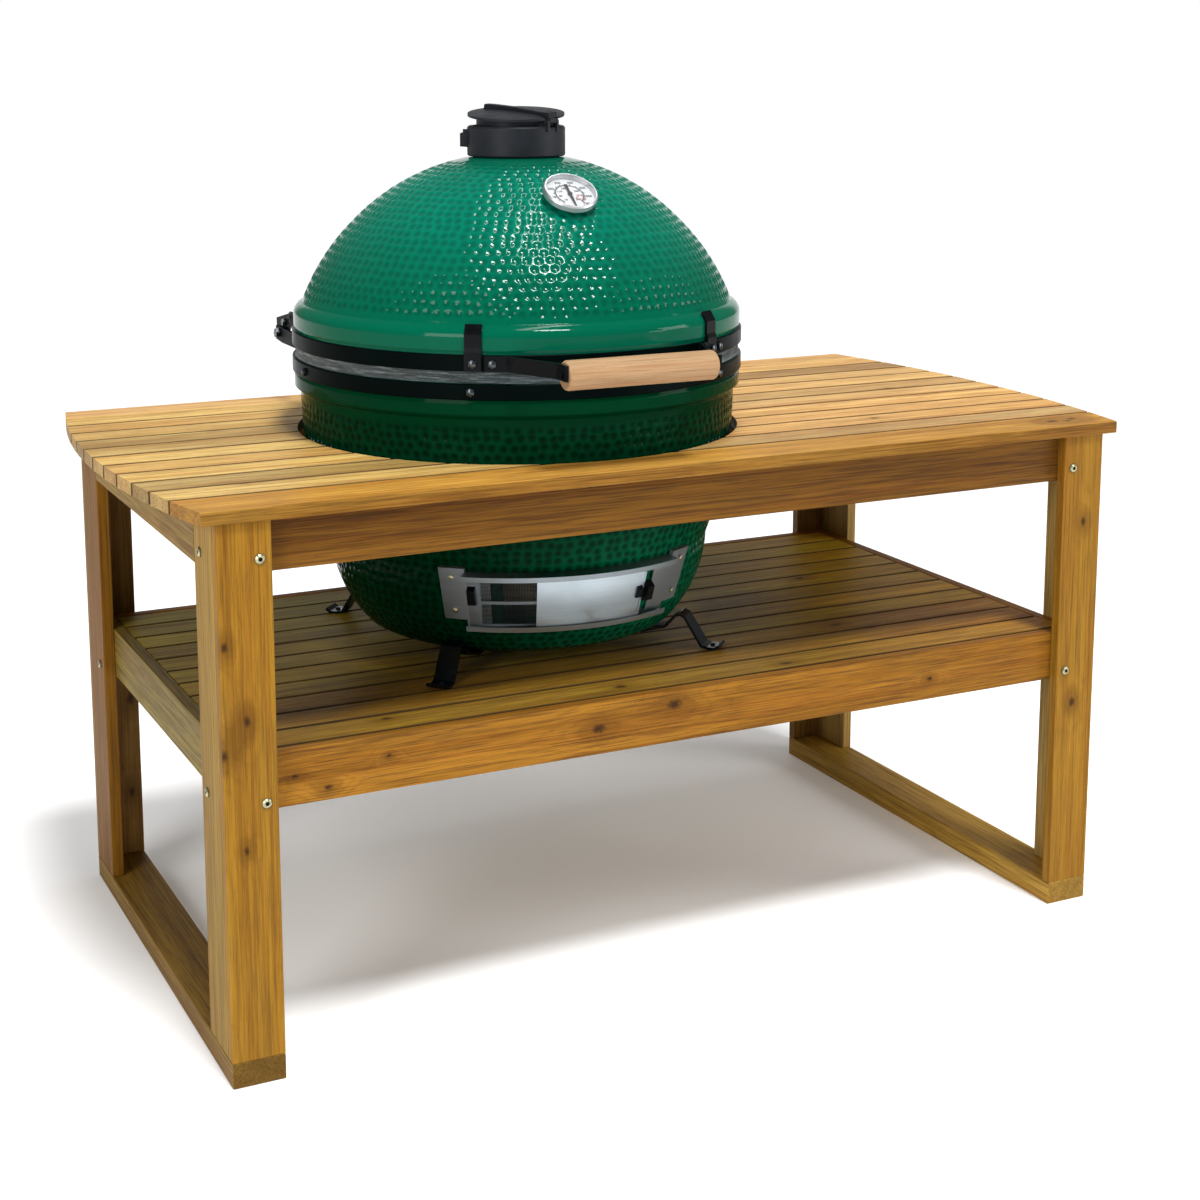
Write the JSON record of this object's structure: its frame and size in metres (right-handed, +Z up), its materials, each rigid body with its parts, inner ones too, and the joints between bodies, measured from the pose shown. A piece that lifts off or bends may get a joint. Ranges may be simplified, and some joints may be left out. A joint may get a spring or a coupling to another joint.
{
  "type": "kamado grill table",
  "caption": "Slatted hardwood table with a round cut-out holding a ceramic kamado grill that stands on the lower shelf.",
  "frame": {"origin": "on the floor, under the middle of the table", "axes": "+Z up, +X along the table to the right as seen from the front, -Y towards the front (the side with the lid's handle and the draft door)"},
  "size_m": [1.524, 0.842, 1.26],
  "materials": {
    "top_wood": "oiled",
    "shelf_wood": "oiled",
    "frame_wood": "oiled",
    "handle_wood": "sanded",
    "bright_bolt": "bright",
    "green_glaze": "gloss, dimpled",
    "felt": "matte",
    "black_steel": "satin",
    "zinc_screw": "satin",
    "spring_steel": "satin",
    "cap_black": "matte",
    "chrome_bezel": "polished",
    "dial_face": "printed",
    "dial_glass": "clear",
    "needle_black": "satin",
    "draft_steel": "brushed",
    "screen_mesh": "brushed",
    "fire_clay": "matte",
    "cast_iron": "rough",
    "grid_steel": "satin"
  },
  "bodies": {
    "stand": {"top_slat_front": "top_wood", "top_slat_back": "top_wood", "top_slats_left": "top_wood", "top_slats_right": "top_wood", "shelf_slats": "shelf_wood", "shelf_battens": "shelf_wood", "top_battens": "shelf_wood", "runner_left": "frame_wood", "runner_right": "frame_wood", "leg_front_left_face": "frame_wood", "leg_front_left_side": "frame_wood", "leg_front_right_face": "frame_wood", "leg_front_right_side": "frame_wood", "leg_back_left_face": "frame_wood", "leg_back_left_side": "frame_wood", "leg_back_right_face": "frame_wood", "leg_back_right_side": "frame_wood", "apron_front": "frame_wood", "apron_back": "frame_wood", "end_apron_left": "frame_wood", "end_apron_right": "frame_wood", "shelf_rail_front": "frame_wood", "shelf_rail_back": "frame_wood", "shelf_rail_left": "frame_wood", "shelf_rail_right": "frame_wood", "leg_bolts": "bright_bolt", "base_bowl": "green_glaze", "base_felt": "felt", "lower_band": "black_steel", "hinge_lower_bracket": "black_steel", "foot_cradle": "black_steel", "lower_band_screws": "zinc_screw", "hinge_pins": "zinc_screw", "draft_screws": "zinc_screw", "foot_screws": "zinc_screw", "hinge_springs": "spring_steel", "draft_frame": "draft_steel", "fire_box": "fire_clay", "fire_ring": "fire_clay", "fire_grate": "cast_iron"},
    "lid": {"dome": "green_glaze", "dome_felt": "felt", "upper_band": "black_steel", "band_tabs": "black_steel", "upper_band_screws": "zinc_screw", "hinge_upper_bracket": "black_steel", "handle_bar": "handle_wood", "handle_bracket": "black_steel", "thermometer_case": "chrome_bezel", "thermometer_dial": "dial_face", "thermometer_lens": "dial_glass"},
    "needle": {"thermometer_needle": "needle_black"},
    "cap": {"cap_collar": "cap_black", "cap_hinge_pin": "zinc_screw"},
    "rain_flap": {"rain_cap": "cap_black"},
    "door": {"draft_door": "draft_steel", "door_knob": "black_steel"},
    "screen": {"draft_screen": "screen_mesh", "screen_knob": "black_steel"},
    "grate": {"cooking_grate": "grid_steel"}
  },
  "joints": [
    {"name": "lid_hinge", "type": "hinge", "parent": "stand", "child": "lid", "pos_m": [-0.109, 0.39, 0.882], "axis": [-1, 0, 0], "range_deg": [0, 70], "deforming": ["hinge_springs"]},
    {"name": "needle_pivot", "type": "hinge", "parent": "lid", "child": "needle", "pos_m": [-0.11574, -0.19314, 1.13775], "axis": [0.0187, 0.5647, -0.8251], "range_deg": [0, 280]},
    {"name": "cap_lift", "type": "slide", "parent": "lid", "child": "cap", "axis": [0, 0, 1], "range_m": [0, 0.06]},
    {"name": "rain_cap_hinge", "type": "hinge", "parent": "cap", "child": "rain_flap", "pos_m": [-0.08087, -0.05628, 1.2355], "axis": [0.9205, 0.3907, 0], "range_deg": [0, 75]},
    {"name": "draft_door_slide", "type": "hinge", "parent": "stand", "child": "door", "pos_m": [-0.109, 0.01, 0.56], "axis": [0, 0, 1], "range_deg": [-14, 10]},
    {"name": "draft_screen_slide", "type": "hinge", "parent": "stand", "child": "screen", "pos_m": [-0.109, 0.01, 0.56], "axis": [0, 0, 1], "range_deg": [0, 12]},
    {"name": "grate_lift", "type": "slide", "parent": "stand", "child": "grate", "axis": [0, 0, 1], "range_m": [0, 0.05]}
  ]
}
